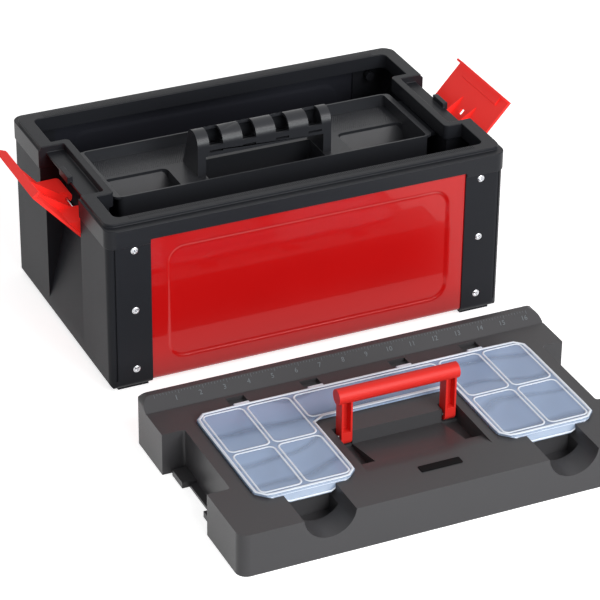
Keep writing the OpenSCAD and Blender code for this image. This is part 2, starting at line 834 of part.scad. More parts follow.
// Front view of the finger flap under a wing's front edge, wide at the top
module flap_front(side, grow) {
    top = wing_w / 2 - org_chamfer + grow;
    low = scallop_r - 5.8 + grow;
    translate([side * wing_mid_x, cover_z + 0.4]) polygon([[-top, 0.8], [-top, 0], [-low, -flap_drop - grow - 0.4],
        [low, -flap_drop - grow - 0.4], [top, 0], [top, 0.8]]);
}

// Side view of the flap, a leaning plate that starts at the cover's front edge
module flap_side(grow) {
    polygon([[org_front - grow, cover_z + 1], [org_front - flap_lean - grow, cover_z - flap_drop - grow],
             [org_front - flap_lean + flap_t + grow, cover_z - flap_drop - grow],
             [org_front + flap_t + grow, cover_z], [org_front + flap_t + grow, cover_z + 1]]);
}

module flap_space(side, grow) {
    intersection() {
        translate([0, lid_depth, 0]) rotate([90, 0, 0]) linear_extrude(2 * lid_depth) flap_front(side, grow);
        translate([-lid_len, 0, 0]) rotate([90, 0, 90]) linear_extrude(2 * lid_len) flap_side(grow);
    }
}

module cover_slots(grow) {
    for (x = tab_xs)
        translate([x - slot_w / 2 - grow, org_back - 2, slot_low - grow])
            cube([slot_w + 2 * grow, slot_back - org_back + 2 + grow, 20]);
}

module lid_shell() {
    color(lid_grey) at_lid() difference() {
        union() {
            linear_extrude(lid_h) lid_plan(0);
            lid_ridge(0);
            for (side = [-1, 1]) {
                translate([side > 0 ? notch_x - 1 : -notch_foot_x, notch_y - notch_w / 2 - 1, 0])
                    cube([notch_foot_x - notch_x + 1, notch_w + 2, notch_foot_h]);
                for (s = [-1, 1])
                    translate([side > 0 ? notch_x : -notch_tab_x, notch_y + s * notch_tab_y - notch_tab_w / 2, 0])
                        cube([notch_tab_x - notch_x, notch_tab_w, notch_tab_h]);
            }
        }
        difference() {
            union() {
                translate([0, 0, -1]) linear_extrude(lid_h - lid_wall + 1) lid_plan(lid_wall);
                lid_ridge(ridge_t);
            }
            handle_space(lid_wall);
            for (side = [-1, 1]) {
                scallop_space(side, lid_wall);
                flap_space(side, flap_clear + lid_wall);
            }
            cover_slots(lid_wall);
            translate([0, 0, bin_base_z - well_t]) linear_extrude(lid_h) org_plan(org_gap + well_t, well_front);
        }
        ridge_groove();
        handle_space(0);
        for (side = [-1, 1]) {
            scallop_space(side, 0);
            flap_space(side, flap_clear);
        }
        cover_slots(0);
        translate([0, 0, bin_base_z]) linear_extrude(lid_h) org_plan(org_gap, well_front);
        handle_pin_holes();
        hinge_pin_holes();
    }
}

module handle_pin_holes() {
    handle_pin();
    mirror([1, 0, 0]) handle_pin();
}

// The stud stops short of the far face of the walls that hold it
module handle_pin() {
    seat = lid_wall - stud_cover;
    translate([slot_in - seat, hinge_arm_y, hinge_arm_z]) rotate([0, 90, 0])
        cylinder(d = stud_d, h = recess_half - slot_in + 2 * seat);
}

module hinge_pin_holes() {
    for (x = tab_xs)
        translate([x - slot_w / 2 - 2, hinge_y, hinge_z]) rotate([0, 90, 0])
            cylinder(d = cover_pin_d, h = slot_w + 4);
}

module right_handle_pin() {
    color(zinc) at_lid() handle_pin();
}

module left_handle_pin() {
    color(zinc) at_lid() mirror([1, 0, 0]) handle_pin();
}

module badge_plate() {
    color(black) at_lid() translate([badge_x, badge_y, lid_h]) linear_extrude(badge_t)
        round_rect(badge_len, badge_w, badge_r);
}

module lid_handle() {
    color(red) at_lid() translate([0, hinge_arm_y, hinge_arm_z]) difference() {
        union() {
            translate([-handle_w / 2, 0, handle_arm]) rotate([0, 90, 0])
                cylinder(d = handle_grip_d, h = handle_w);
            for (side = [-1, 1]) {
                translate([side > 0 ? leg_in : -leg_out, -leg_depth / 2, 0])
                    cube([leg_w, leg_depth, handle_arm]);
                translate([side > 0 ? leg_in : -leg_out, 0, 0]) rotate([0, 90, 0])
                    cylinder(d = leg_depth, h = leg_w);
            }
        }
        for (side = [-1, 1]) {
            translate([side > 0 ? leg_in + 2 : -leg_out + 2, -leg_depth / 2 - 1, leg_depth / 2 + 2])
                cube([leg_w - 4, leg_channel_depth + 1, handle_arm - leg_depth / 2 - 7]);
        }
        translate([-handle_w, 0, 0]) rotate([0, 90, 0])
            cylinder(r = stud_d / 2 + pin_gap, h = 2 * handle_w);
    }
}

// ---- Organiser ----

module organiser_bin() {
    cell = bin_inset + bin_wall;
    color(clear_grey) at_lid() difference() {
        translate([0, 0, bin_base_z]) linear_extrude(bin_h) org_plan(-bin_inset, well_front);
        translate([0, 0, bin_base_z + bin_wall]) linear_extrude(bin_h) difference() {
            org_plan(-cell, well_front);
            for (side = [-1, 1]) {
                translate([side * (wing_mid_x + 1) - bin_wall / 2, org_front]) square([bin_wall, org_depth]);
                translate([side * (wing_in_x + cell / 2) - bin_wall / 2, strip_front]) square([bin_wall, strip_depth]);
            }
            for (x = [-org_half, wing_in_x])
                translate([x, cell_line_y - bin_wall / 2]) square([wing_w, bin_wall]);
        }
    }
}

module organiser_hinge_pins() {
    color(zinc) at_lid() hinge_pin_holes();
}

module organiser_cover() {
    color(clear_grey) at_lid() difference() {
        union() {
            translate([0, 0, cover_z]) linear_extrude(cover_t) org_plan(0);
            for (side = [-1, 1]) flap_space(side, 0);
            for (x = tab_xs)
                translate([x - tab_w / 2, 0, 0]) rotate([90, 0, 90]) linear_extrude(tab_w) {
                    translate([hinge_y, hinge_z]) circle(barrel_r);
                    polygon([[org_back - 4, cover_z], [org_back - 4, cover_z + cover_t],
                             [hinge_y + 0.25, cover_z + cover_t], [hinge_y + 2, hinge_z + 0.6],
                             [hinge_y - 2, hinge_z + 0.6], [hinge_y - 2, cover_z]]);
                }
        }
        for (x = tab_xs)
            translate([x - tab_w / 2 - 1, hinge_y, hinge_z]) rotate([0, 90, 0])
                cylinder(r = cover_pin_d / 2 + pin_gap, h = tab_w + 2);
    }
}

steel_shell();
left_end_cap();
right_end_cap();
top_rim();
left_front_screws();
right_front_screws();
left_back_screws();
right_back_screws();
left_latch_pin();
right_latch_pin();
left_latch();
right_latch();
tray();
tray_handle();
lid_shell();
badge_plate();
left_handle_pin();
right_handle_pin();
lid_handle();
organiser_bin();
organiser_hinge_pins();
organiser_cover();
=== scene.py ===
import math

import bpy
import bmesh
from mathutils import Matrix, Vector


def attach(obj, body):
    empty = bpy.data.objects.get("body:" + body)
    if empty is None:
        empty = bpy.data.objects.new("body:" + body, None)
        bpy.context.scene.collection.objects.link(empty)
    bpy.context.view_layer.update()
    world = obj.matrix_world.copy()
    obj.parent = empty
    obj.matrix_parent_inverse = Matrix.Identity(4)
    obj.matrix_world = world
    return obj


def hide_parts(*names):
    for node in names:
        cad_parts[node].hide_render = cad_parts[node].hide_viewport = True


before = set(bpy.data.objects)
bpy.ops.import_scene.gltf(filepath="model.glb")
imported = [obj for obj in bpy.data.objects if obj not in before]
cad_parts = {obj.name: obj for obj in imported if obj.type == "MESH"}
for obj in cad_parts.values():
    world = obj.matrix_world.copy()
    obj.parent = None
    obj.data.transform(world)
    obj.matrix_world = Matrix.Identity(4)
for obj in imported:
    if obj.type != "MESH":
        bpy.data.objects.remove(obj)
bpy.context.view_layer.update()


# ---- Floor, soft lamps and camera ----
# The tool box stands on a pale sweep in plain soft light, with its lid laid in front of it.
# The camera looks down from the front left, a long way off, as a catalogue picture is taken.

def lamp(name, place, aim, size, watts, tint):
    data = bpy.data.lights.new(name, "AREA")
    data.shape = "RECTANGLE"
    data.size, data.size_y = size
    data.energy = watts
    data.color = tint
    lit = bpy.data.objects.new(name, data)
    lit.location = place
    lit.rotation_euler = (Vector(aim) - Vector(place)).to_track_quat("-Z", "Y").to_euler()
    bpy.context.scene.collection.objects.link(lit)


lamp("front_softbox", (0.5, -2.6, 1.05), (0, 0, 0.08), (2.2, 1.0), 52, (0.96, 1.0, 1.0))
lamp("high_key_strip", (1.0, -1.9, 1.95), (0, 0, 0.1), (1.9, 0.45), 27, (1.0, 0.98, 0.98))
lamp("left_edge_strip", (-2.2, 0.9, 1.2), (0, 0, 0.1), (0.5, 1.4), 1, (1.0, 1.0, 1.0))

studio = bpy.data.worlds.new("studio")
bpy.context.scene.world = studio
studio.use_nodes = True
sky = studio.node_tree.nodes["Background"]
sky.inputs["Color"].default_value = (1.0, 1.0, 1.0, 1.0)


def seen_rays(tree):
    """1 for a ray that sees the backdrop straight, in a gloss or through a clear piece.
    0 for a lighting ray."""
    path = tree.nodes.new("ShaderNodeLightPath")
    straight_or_gloss = tree.nodes.new("ShaderNodeMath")
    straight_or_gloss.operation = "MAXIMUM"
    tree.links.new(path.outputs["Is Camera Ray"], straight_or_gloss.inputs[0])
    tree.links.new(path.outputs["Is Glossy Ray"], straight_or_gloss.inputs[1])
    seen = tree.nodes.new("ShaderNodeMath")
    seen.operation = "MAXIMUM"
    tree.links.new(straight_or_gloss.outputs[0], seen.inputs[0])
    tree.links.new(path.outputs["Is Transmission Ray"], seen.inputs[1])
    return seen.outputs[0]


light_given, light_seen = 0.32, 1.0
lift = studio.node_tree.nodes.new("ShaderNodeMix")
lift.data_type = "FLOAT"
lift.inputs[2].default_value = light_given
lift.inputs[3].default_value = light_seen
studio.node_tree.links.new(seen_rays(studio.node_tree), lift.inputs[0])
studio.node_tree.links.new(lift.outputs[0], sky.inputs["Strength"])


def sweep():
    """The floor, a wide sheet that is white where no shadow falls."""
    mesh = bpy.data.meshes.new("floor")
    half = 9.0
    corners = [(-half, -half, 0), (half, -half, 0), (half, half, 0), (-half, half, 0)]
    mesh.from_pydata(corners, [], [(0, 1, 2, 3)])
    floor = bpy.data.objects.new("floor", mesh)
    bpy.context.scene.collection.objects.link(floor)
    finish = bpy.data.materials.new("floor_paper")
    finish.use_nodes = True
    nodes, links = finish.node_tree.nodes, finish.node_tree.links
    shader = nodes["Principled BSDF"]
    shader.inputs["Base Color"].default_value = (0.86, 0.86, 0.86, 1)
    shader.inputs["Roughness"].default_value = 0.9
    shader.inputs["Specular IOR Level"].default_value = 0.1
    glow = nodes.new("ShaderNodeMath")
    glow.operation = "MULTIPLY"
    glow.inputs[1].default_value = 0.75
    links.new(seen_rays(finish.node_tree), glow.inputs[0])
    shader.inputs["Emission Color"].default_value = (1, 1, 1, 1)
    links.new(glow.outputs[0], shader.inputs["Emission Strength"])
    mesh.materials.append(finish)


sweep()

lens = bpy.data.cameras.new("catalogue_camera")
lens.sensor_width = 36.0
lens.lens = 173.48
lens.clip_end = 60.0
eye = bpy.data.objects.new("catalogue_camera", lens)
bpy.context.scene.collection.objects.link(eye)
azimuth, elevation, roll = math.radians(-24.802), math.radians(30.052), math.radians(0.635)
backward = Vector((math.sin(azimuth) * math.cos(elevation), -math.cos(azimuth) * math.cos(elevation),
                   math.sin(elevation)))
level = (-backward).cross(Vector((0, 0, 1))).normalized()
upward = level.cross(-backward)
across = math.cos(roll) * level + math.sin(roll) * upward
over = -math.sin(roll) * level + math.cos(roll) * upward
turn = Matrix((across, over, backward)).transposed().to_4x4()
eye.matrix_world = Matrix.Translation((-1.0786, -2.2756, 1.5333)) @ turn
bpy.context.scene.camera = eye
bpy.context.scene.view_settings.view_transform = "Standard"


# ---- End caps ----
# Two satin black mouldings close the ends of the box: pillar at the front and back, foot under
# each corner, and a deep bay for the latch with a finger ramp below it.

def srgb(red, green, blue):
    """Linear colour of a paint that reads as these 0 to 255 values."""
    def linear(value):
        value /= 255
        return value / 12.92 if value <= 0.04045 else ((value + 0.055) / 1.055) ** 2.4
    return (linear(red), linear(green), linear(blue), 1.0)


def new_piece(name, mesh, body, finish, replaced=()):
    """Puts a mesh in the scene as a piece of the tool box that moves with a body."""
    piece = bpy.data.objects.new(name, mesh)
    bpy.context.scene.collection.objects.link(piece)
    mesh.materials.clear()
    mesh.materials.append(finish)
    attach(piece, body)
    if replaced:
        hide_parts(*replaced)
    return piece


def rounded_moulding(node, body, finish, radius, steps=2, least_angle=28, most_sides=400):
    """A moulding with the form of a CAD node and its sharp edges rounded over.
    The radius is the most that an edge gets: the narrowest face of the piece keeps them all finer.
    Faces of more than most_sides corners are cut up again before the rounding."""
    weld, flat_angle = 2e-6, 0.6
    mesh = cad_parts[node].data.copy()
    mesh.name = node + "_moulding"
    if "custom_normal" in mesh.attributes:
        mesh.attributes.remove(mesh.attributes["custom_normal"])
    work = bmesh.new()
    work.from_mesh(mesh)
    bmesh.ops.remove_doubles(work, verts=work.verts, dist=weld)
    bmesh.ops.dissolve_limit(work, angle_limit=math.radians(flat_angle), use_dissolve_boundaries=False,
                             verts=work.verts, edges=work.edges, delimit=set())
    bmesh.ops.triangulate(work, faces=[face for face in work.faces if len(face.verts) > most_sides])
    for face in work.faces:
        face.smooth = True
    work.to_mesh(mesh)
    work.free()
    piece = new_piece(node + "_moulding", mesh, body, finish, (node,))
    if radius > 0:
        ease = piece.modifiers.new("rounded_edges", "BEVEL")
        ease.width = radius
        ease.segments = steps
        ease.limit_method = "ANGLE"
        ease.angle_limit = math.radians(least_angle)
        ease.use_clamp_overlap = True
        ease.miter_outer = "MITER_ARC"
        ease.harden_normals = False
    weigh = piece.modifiers.new("flat_faces", "WEIGHTED_NORMAL")
    weigh.keep_sharp = False
    weigh.weight = 90
    return piece


def moulded_skin_group():
    """Skin of an injection moulding: fine spark grain, a slow change of gloss, and light dust."""
    group = bpy.data.node_groups.new("moulded_skin", "ShaderNodeTree")
    face = group.interface
    for name, kind, value in (("Color", "NodeSocketColor", (0.1, 0.1, 0.1, 1)),
                              ("Grain Scale", "NodeSocketFloat", 2600.0),
                              ("Roughness", "NodeSocketFloat", 0.42),
                              ("Gloss Drift", "NodeSocketFloat", 0.10),
                              ("Tone Drift", "NodeSocketFloat", 0.06)):
        socket = face.new_socket(name=name, in_out="INPUT", socket_type=kind)
        socket.default_value = value
    face.new_socket(name="Color", in_out="OUTPUT", socket_type="NodeSocketColor")
    face.new_socket(name="Roughness", in_out="OUTPUT", socket_type="NodeSocketFloat")
    face.new_socket(name="Height", in_out="OUTPUT", socket_type="NodeSocketFloat")
    nodes, links = group.nodes, group.links
    given = nodes.new("NodeGroupInput")
    made = nodes.new("NodeGroupOutput")
    where = nodes.new("ShaderNodeTexCoord")
    grain = nodes.new("ShaderNodeTexNoise")
    grain.inputs["Detail"].default_value = 3.0
    grain.inputs["Roughness"].default_value = 0.6
    links.new(where.outputs["Object"], grain.inputs["Vector"])
    links.new(given.outputs["Grain Scale"], grain.inputs["Scale"])
    links.new(grain.outputs["Fac"], made.inputs["Height"])
    flow = nodes.new("ShaderNodeTexNoise")
    flow.inputs["Scale"].default_value = 14.0
    flow.inputs["Detail"].default_value = 4.0
    links.new(where.outputs["Object"], flow.inputs["Vector"])
    centred = nodes.new("ShaderNodeMath")
    centred.operation = "SUBTRACT"
    centred.inputs[1].default_value = 0.5
    links.new(flow.outputs["Fac"], centred.inputs[0])
    drift = nodes.new("ShaderNodeMath")
    drift.operation = "MULTIPLY_ADD"
    links.new(centred.outputs[0], drift.inputs[0])
    links.new(given.outputs["Gloss Drift"], drift.inputs[1])
    links.new(given.outputs["Roughness"], drift.inputs[2])
    links.new(drift.outputs[0], made.inputs["Roughness"])
    tone = nodes.new("ShaderNodeMath")
    tone.operation = "MULTIPLY_ADD"
    tone.inputs[2].default_value = 1.0
    links.new(centred.outputs[0], tone.inputs[0])
    links.new(given.outputs["Tone Drift"], tone.inputs[1])
    tint = nodes.new("ShaderNodeHueSaturation")
    links.new(given.outputs["Color"], tint.inputs["Color"])
    links.new(tone.outputs[0], tint.inputs["Value"])
    links.new(tint.outputs["Color"], made.inputs["Color"])
    return group


moulded_skin = moulded_skin_group()


def moulded_plastic(name, color, roughness, grain_scale=2600.0, grain_depth=0.00004, gloss_drift=0.10,
                    tone_drift=0.10, sheen=0.22, painted_glow=0.0):
    """A moulded plastic: one colour through, with the grain of its mould; the last argument makes it glow
    in its own colour, painted light that no lamp gives."""
    finish = bpy.data.materials.new(name)
    finish.use_nodes = True
    nodes, links = finish.node_tree.nodes, finish.node_tree.links
    shader = nodes["Principled BSDF"]
    shader.inputs["Specular IOR Level"].default_value = sheen
    # The plastic may glow in its own colour: painted light, not light from a lamp.
    shader.inputs["Emission Color"].default_value = color
    shader.inputs["Emission Strength"].default_value = painted_glow
    skin = nodes.new("ShaderNodeGroup")
    skin.node_tree = moulded_skin
    skin.inputs["Color"].default_value = color
    skin.inputs["Grain Scale"].default_value = grain_scale
    skin.inputs["Roughness"].default_value = roughness
    skin.inputs["Gloss Drift"].default_value = gloss_drift
    skin.inputs["Tone Drift"].default_value = tone_drift
    bump = nodes.new("ShaderNodeBump")
    bump.inputs["Strength"].default_value = 1.0
    bump.inputs["Distance"].default_value = grain_depth
    links.new(skin.outputs["Color"], shader.inputs["Base Color"])
    links.new(skin.outputs["Roughness"], shader.inputs["Roughness"])
    links.new(skin.outputs["Height"], bump.inputs["Height"])
    links.new(bump.outputs["Normal"], shader.inputs["Normal"])
    return finish


black_plastic = moulded_plastic("black_plastic", srgb(36, 37, 41), 0.42, sheen=0.08)

for side in ("left", "right"):
    rounded_moulding(side + "_end_cap", "box", black_plastic, 0.0012)


# ---- Steel shell ----
# One sheet of steel bent to a U makes the front, the bottom and the back of the box. Its front
# and back each have a pressed field, and it is stove enamelled in a deep glossy red.

def steel_sheet():
    """The U of the sheet as one grid, with the fields pressed into its front and back."""
    half_len = 0.1985
    front, back = 0.0337, 0.3058
    low, high = 0.0045, 0.180
    bend = 0.007
    wall_rows, bend_rows, bottom_rows, columns = 110, 8, 24, 264
    pad_low, pad_high = 0.0259, 0.1541
    pad_half = 0.1555
    pad_r, pad_soft, pad_depth = 0.018, 0.0024, 0.0015

    path = []
    for n in range(wall_rows):
        path.append((front, high + (low + bend - high) * n / wall_rows, -1.0, 0.0))
    for n in range(bend_rows + 1):
        a = math.radians(90 * n / bend_rows)
        y = front + bend - bend * math.cos(a)
        z = low + bend - bend * math.sin(a)
        path.append((y, z, -math.cos(a), -math.sin(a)))
    for n in range(1, bottom_rows):
        path.append((front + bend + (back - front - 2 * bend) * n / bottom_rows, low, 0.0, -1.0))
    for n in range(bend_rows + 1):
        a = math.radians(90 * n / bend_rows)
        y = back - bend + bend * math.sin(a)
        z = low + bend - bend * math.cos(a)
        path.append((y, z, math.sin(a), -math.cos(a)))
    for n in range(1, wall_rows + 1):
        path.append((back, low + bend + (high - low - bend) * n / wall_rows, 1.0, 0.0))

    def pressed(x, z):
        """How deep the sheet is pressed in at a place on its front or back."""
        mid = (pad_low + pad_high) / 2
        qx = abs(x) - pad_half + pad_r
        qz = abs(z - mid) - (pad_high - pad_low) / 2 + pad_r
        gap = math.hypot(max(qx, 0), max(qz, 0)) + min(max(qx, qz), 0) - pad_r
        t = min(max(-gap / pad_soft, 0), 1)
        return pad_depth * t * t * (3 - 2 * t)

    points, faces = [], []
    for y, z, ny, nz in path:
        for c in range(columns + 1):
            x = -half_len + 2 * half_len * c / columns
            depth = pressed(x, z) if nz == 0 else 0
            points.append((x, y - ny * depth, z))
    wide = columns + 1
    for r in range(len(path) - 1):
        for c in range(columns):
            corner = r * wide + c
            faces.append((corner, corner + wide, corner + wide + 1, corner + 1))
    mesh = bpy.data.meshes.new("steel_sheet")
    mesh.from_pydata(points, [], faces)
    for face in mesh.polygons:
        face.use_smooth = True
    return mesh


def red_enamel():
    """Stove enamel: deep red with a thin clear gloss and a faint orange peel."""
    finish = bpy.data.materials.new("red_enamel")
    finish.use_nodes = True
    nodes, links = finish.node_tree.nodes, finish.node_tree.links
    shader = nodes["Principled BSDF"]
    shader.inputs["Specular IOR Level"].default_value = 0.25
    shader.inputs["Coat Weight"].default_value = 0.45
    shader.inputs["Coat Roughness"].default_value = 0.04
    skin = nodes.new("ShaderNodeGroup")
    skin.node_tree = moulded_skin
    skin.inputs["Color"].default_value = srgb(188, 9, 9)
    skin.inputs["Grain Scale"].default_value = 420.0
    skin.inputs["Roughness"].default_value = 0.30
    skin.inputs["Gloss Drift"].default_value = 0.08
    skin.inputs["Tone Drift"].default_value = 0.10
    peel = nodes.new("ShaderNodeBump")
    peel.inputs["Strength"].default_value = 1.0
    peel.inputs["Distance"].default_value = 0.00003
    links.new(skin.outputs["Color"], shader.inputs["Base Color"])
    links.new(skin.outputs["Roughness"], shader.inputs["Roughness"])
    links.new(skin.outputs["Height"], peel.inputs["Height"])
    links.new(peel.outputs["Normal"], shader.inputs["Normal"])
    return finish


sheet = new_piece("steel_sheet", steel_sheet(), "box", red_enamel(), ("steel_shell",))
dark_primer = moulded_plastic("dark_primer", srgb(36, 37, 44), 0.8, grain_scale=500.0, sheen=0.12)
sheet.data.materials.append(dark_primer)
thick = sheet.modifiers.new("sheet_gauge", "SOLIDIFY")
thick.thickness = 0.001
thick.offset = -1.0
thick.material_offset = 1


# ---- Top rim ----
# One black moulding frames the mouth of the box: a flange with a hanging skirt, a raised lip with
# fine ribs for the lid to sit over, and a ledge with a centring nib above each latch bay.

rim_plastic = moulded_plastic("rim_plastic", srgb(36, 37, 41), 0.33, sheen=0.14)
rounded_moulding("top_rim", "box", rim_plastic, 0.0014, steps=3)


def lip_ribs():
    """Fine cross ribs on the inner half of the front and back lips."""
    points, faces = [], []
    top, proud, half_rib, pitch = 0.188, 0.00035, 0.00055, 0.0022
    ribs_each_way, end_lean = 86, 0.0004
    front_lip, back_lip = (0.0460, 0.0524), (0.2871, 0.2935)
    for y0, y1 in (front_lip, back_lip):
        for n in range(-ribs_each_way, ribs_each_way + 1):
            x = n * pitch
            b = len(points)
            for half, lean, z in ((half_rib, 0.0, top), (half_rib * 0.5, end_lean, top + proud)):
                points += [(x - half, y0 + lean, z), (x + half, y0 + lean, z),
                           (x + half, y1 - lean, z), (x - half, y1 - lean, z)]
            for k in range(4):
                m = (k + 1) % 4
                faces.append((b + k, b + m, b + m + 4, b + k + 4))
            faces.append((b + 4, b + 5, b + 6, b + 7))
    mesh = bpy.data.meshes.new("lip_ribs")
    mesh.from_pydata(points, [], faces)
    return mesh


new_piece("lip_ribs", lip_ribs(), "box", rim_plastic)


# ---- Screws ----
# Twelve zinc plated steel screws, three in each pillar, hold the sheet to the end caps. Each has
# a domed head with a cross recess.

def bright_zinc():
    """Bright zinc plate with a fine random mottle."""
    finish = bpy.data.materials.new("bright_zinc")
    finish.use_nodes = True
    nodes, links = finish.node_tree.nodes, finish.node_tree.links
    shader = nodes["Principled BSDF"]
    shader.inputs["Metallic"].default_value = 1.0
    skin = nodes.new("ShaderNodeGroup")
    skin.node_tree = moulded_skin
    skin.inputs["Color"].default_value = srgb(198, 199, 203)
    skin.inputs["Grain Scale"].default_value = 1800.0
    skin.inputs["Roughness"].default_value = 0.24
    skin.inputs["Gloss Drift"].default_value = 0.12
    skin.inputs["Tone Drift"].default_value = 0.05
    mottle = nodes.new("ShaderNodeBump")
    mottle.inputs["Strength"].default_value = 1.0
    mottle.inputs["Distance"].default_value = 0.00001
    links.new(skin.outputs["Color"], shader.inputs["Base Color"])
    links.new(skin.outputs["Roughness"], shader.inputs["Roughness"])
    links.new(skin.outputs["Height"], mottle.inputs["Height"])
    links.new(mottle.outputs["Normal"], shader.inputs["Normal"])
    return finish


zinc_plate = bright_zinc()


def cross_recess(u, w):
    """1 in the arms of the cross, 0 outside, with a sloping wall between."""
    arm_half, arm_wall = 0.00062, 0.00018
    arm_end, end_wall = 0.0023, 0.0005
    deepest = 0.0
    for across, along in ((u, w), (w, u)):
        side = min(1.0, max(0.0, (arm_half - abs(across)) / arm_wall))
        end = min(1.0, max(0.0, (arm_end - abs(along)) / end_wall))
        deepest = max(deepest, side * end)
    return deepest


def screw_heads(name, x, y, outward):
    """Three domed heads on one pillar; outward is the way they face along Y."""
    points, faces = [], []
    rings, spokes = 22, 48
    head_r, head_rise, recess, skirt = 0.004, 0.0021, 0.0011, 0.0004
    roundness = 0.86
    heights = (0.0239, 0.0915, 0.1591)
    angles = [2 * math.pi * k / spokes for k in range(spokes)]
    for z in heights:
        base = len(points)
        for i in range(rings + 1):
            r = head_r * i / rings
            dome = head_rise * math.sqrt(max(0.0, 1 - roundness * (r / head_r) ** 2))
            for a in angles:
                u, w = r * math.cos(a), r * math.sin(a)
                points.append((x + u, y + outward * (dome - recess * cross_recess(u, w)), z + w))
        rim = len(points)
        for a in angles:
            points.append((x + head_r * math.cos(a), y - outward * skirt, z + head_r * math.sin(a)))
        for k in range(spokes):
            m = (k + 1) % spokes
            for inner in range(base, base + rings * spokes, spokes):
                outer = inner + spokes
                faces.append((inner + k, outer + k, outer + m, inner + m))
            faces.append((base + rings * spokes + k, rim + k, rim + m, base + rings * spokes + m))
        faces.append(tuple(rim + k for k in range(spokes)))
    mesh = bpy.data.meshes.new(name)
    mesh.from_pydata(points, [], faces)
    work = bmesh.new()
    work.from_mesh(mesh)
    bmesh.ops.remove_doubles(work, verts=work.verts, dist=1e-7)
    bmesh.ops.recalc_face_normals(work, faces=work.faces)
    for face in work.faces:
        face.smooth = True
    work.to_mesh(mesh)
    work.free()
    return mesh


pillar_mid, front_seat, back_seat = 0.1908, 0.0332, 0.3063
for side, x in (("left", -pillar_mid), ("right", pillar_mid)):
    for end, y, outward in (("front", front_seat, -1), ("back", back_seat, 1)):
        node = side + "_" + end + "_screws"
        new_piece(side + "_" + end + "_screw_heads", screw_heads(node, x, y, outward), "box", zinc_plate,
                  (node,))


# ---- Latches ----
# A red latch swings on a steel pin across each end bay. It is an open moulding: an outer plate
# with an inturned lip, two deep cheeks that carry the pin, and two thin gussets between them.

# The latches glow faintly in their own red: painted light that makes them read brighter than the lamps
# light them.
red_plastic = moulded_plastic("red_plastic", srgb(248, 50, 44), 0.42, grain_depth=0.00003, painted_glow=0.28)

for side in ("left", "right"):
    rounded_moulding(side + "_latch", side + "_latch", red_plastic, 0.0007)
    rounded_moulding(side + "_latch_pin", "box", zinc_plate, 0.0)


# ---- Tray ----
# A loose black moulding sits in the middle of the box. It has a deep tub at each end, a well for
# the hand between them, a shallow shelf along the back with a dotted floor, and a carrying handle.

tray_plastic = moulded_plastic("tray_plastic", srgb(43, 44, 48), 0.34, sheen=0.34)
rounded_moulding("tray", "tray", tray_plastic, 0.0008)


def shelf_pips():
    """Rows of small moulded pips over the floor of the rear shelf."""
    points, faces = [], []
    floor, rise, pip_r, pitch = 0.160, 0.0004, 0.0007, 0.0024
    front_row, rows, pips_each_way, sides = 0.1878, 15, 68, 6
    for row in range(rows):
        for n in range(-pips_each_way, pips_each_way + 1):
            x = (n + 0.5 * (row % 2)) * pitch
            y = front_row + row * pitch * 0.95
            b = len(points)
            for r, z in ((pip_r, floor), (0.5 * pip_r, floor + rise)):
                for k in range(sides):
                    a = 2 * math.pi * k / sides
                    points.append((x + r * math.cos(a), y + r * math.sin(a), z))
            for k in range(sides):
                m = (k + 1) % sides
                faces.append((b + k, b + m, b + sides + m, b + sides + k))
            faces.append(tuple(b + sides + k for k in range(sides)))
    mesh = bpy.data.meshes.new("shelf_pips")
    mesh.from_pydata(points, [], faces)
    return mesh


new_piece("shelf_pips", shelf_pips(), "tray", tray_plastic)
rounded_moulding("tray_handle", "tray", tray_plastic, 0.0009, most_sides=20)


# ---- Lid ----
# The lid is a deep dark grey moulding with a ruler ridge along its back, a sunk place for the
# organiser, a recess for the folded handle, and a notch at each end that clears the latches.

lid_x, lid_y = -0.0095, -0.18025
lid_plastic = moulded_plastic("lid_plastic", srgb(66, 65, 67), 0.36, sheen=0.26)
rounded_moulding("lid_shell", "lid", lid_plastic, 0.0014, steps=3)
for side in ("left", "right"):
    rounded_moulding(side + "_handle_pin", "lid", zinc_plate, 0.0)


# ---- Ruler on the lid's ridge ----
# The sloping face of the ridge is a ruler: raised inch numbers with eighth inch ticks above them,
# moulded with the lid.

